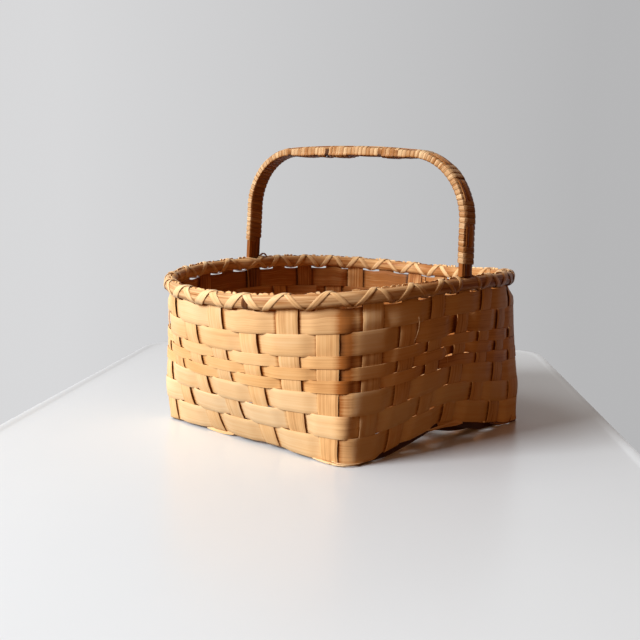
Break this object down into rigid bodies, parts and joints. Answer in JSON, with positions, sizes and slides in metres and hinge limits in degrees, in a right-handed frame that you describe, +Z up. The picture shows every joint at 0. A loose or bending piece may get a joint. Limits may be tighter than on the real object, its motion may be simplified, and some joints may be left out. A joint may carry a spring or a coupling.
{
  "type": "splint basket",
  "caption": "Woven splint basket with a rectangular arched base and a round mouth, rim hoops bound by crossed lashing, and a fixed bow handle wrapped in flat splint.",
  "frame": {"origin": "on the ground, under the middle of the rim", "axes": "+Z up; the handle spans X and stands over the middle stakes; the mouth is longer along Y"},
  "size_m": [0.3378, 0.3797, 0.3073],
  "materials": {
    "stake_splint": "dry scraped splint with fine lengthwise grain",
    "weaver_splint": "dry scraped splint with fine lengthwise grain",
    "hoop_wood": "smooth half-round wood",
    "filler_splint": "rough splint edge",
    "lashing_splint": "smooth flat strip",
    "bow_wood": "smooth bent wood, darkened by use",
    "wrap_splint": "smooth flat strip, a little glossy"
  },
  "bodies": {
    "root": {"stake_x1": "stake_splint", "stake_x2": "stake_splint", "stake_x3": "stake_splint", "stake_x4": "stake_splint", "stake_x5": "stake_splint", "stake_x6": "stake_splint", "stake_x7": "stake_splint", "stake_y1": "stake_splint", "stake_y2": "stake_splint", "stake_y3": "stake_splint", "stake_y4": "stake_splint", "stake_y5": "stake_splint", "stake_y6": "stake_splint", "stake_y7": "stake_splint", "weaver_row1": "weaver_splint", "weaver_row2": "weaver_splint", "weaver_row3": "weaver_splint", "weaver_row4": "weaver_splint", "weaver_row5": "weaver_splint", "weaver_row6": "weaver_splint", "weaver_row7": "weaver_splint", "weaver_row8": "weaver_splint", "rim_hoop_outer": "hoop_wood", "rim_hoop_inner": "hoop_wood", "rim_filler": "filler_splint", "rim_lashing_a": "lashing_splint", "rim_lashing_b": "lashing_splint", "handle_bow": "bow_wood", "handle_overlay": "wrap_splint", "handle_wrap_right": "wrap_splint", "handle_wrap_top": "wrap_splint", "handle_wrap_left": "wrap_splint"}
  },
  "joints": []
}
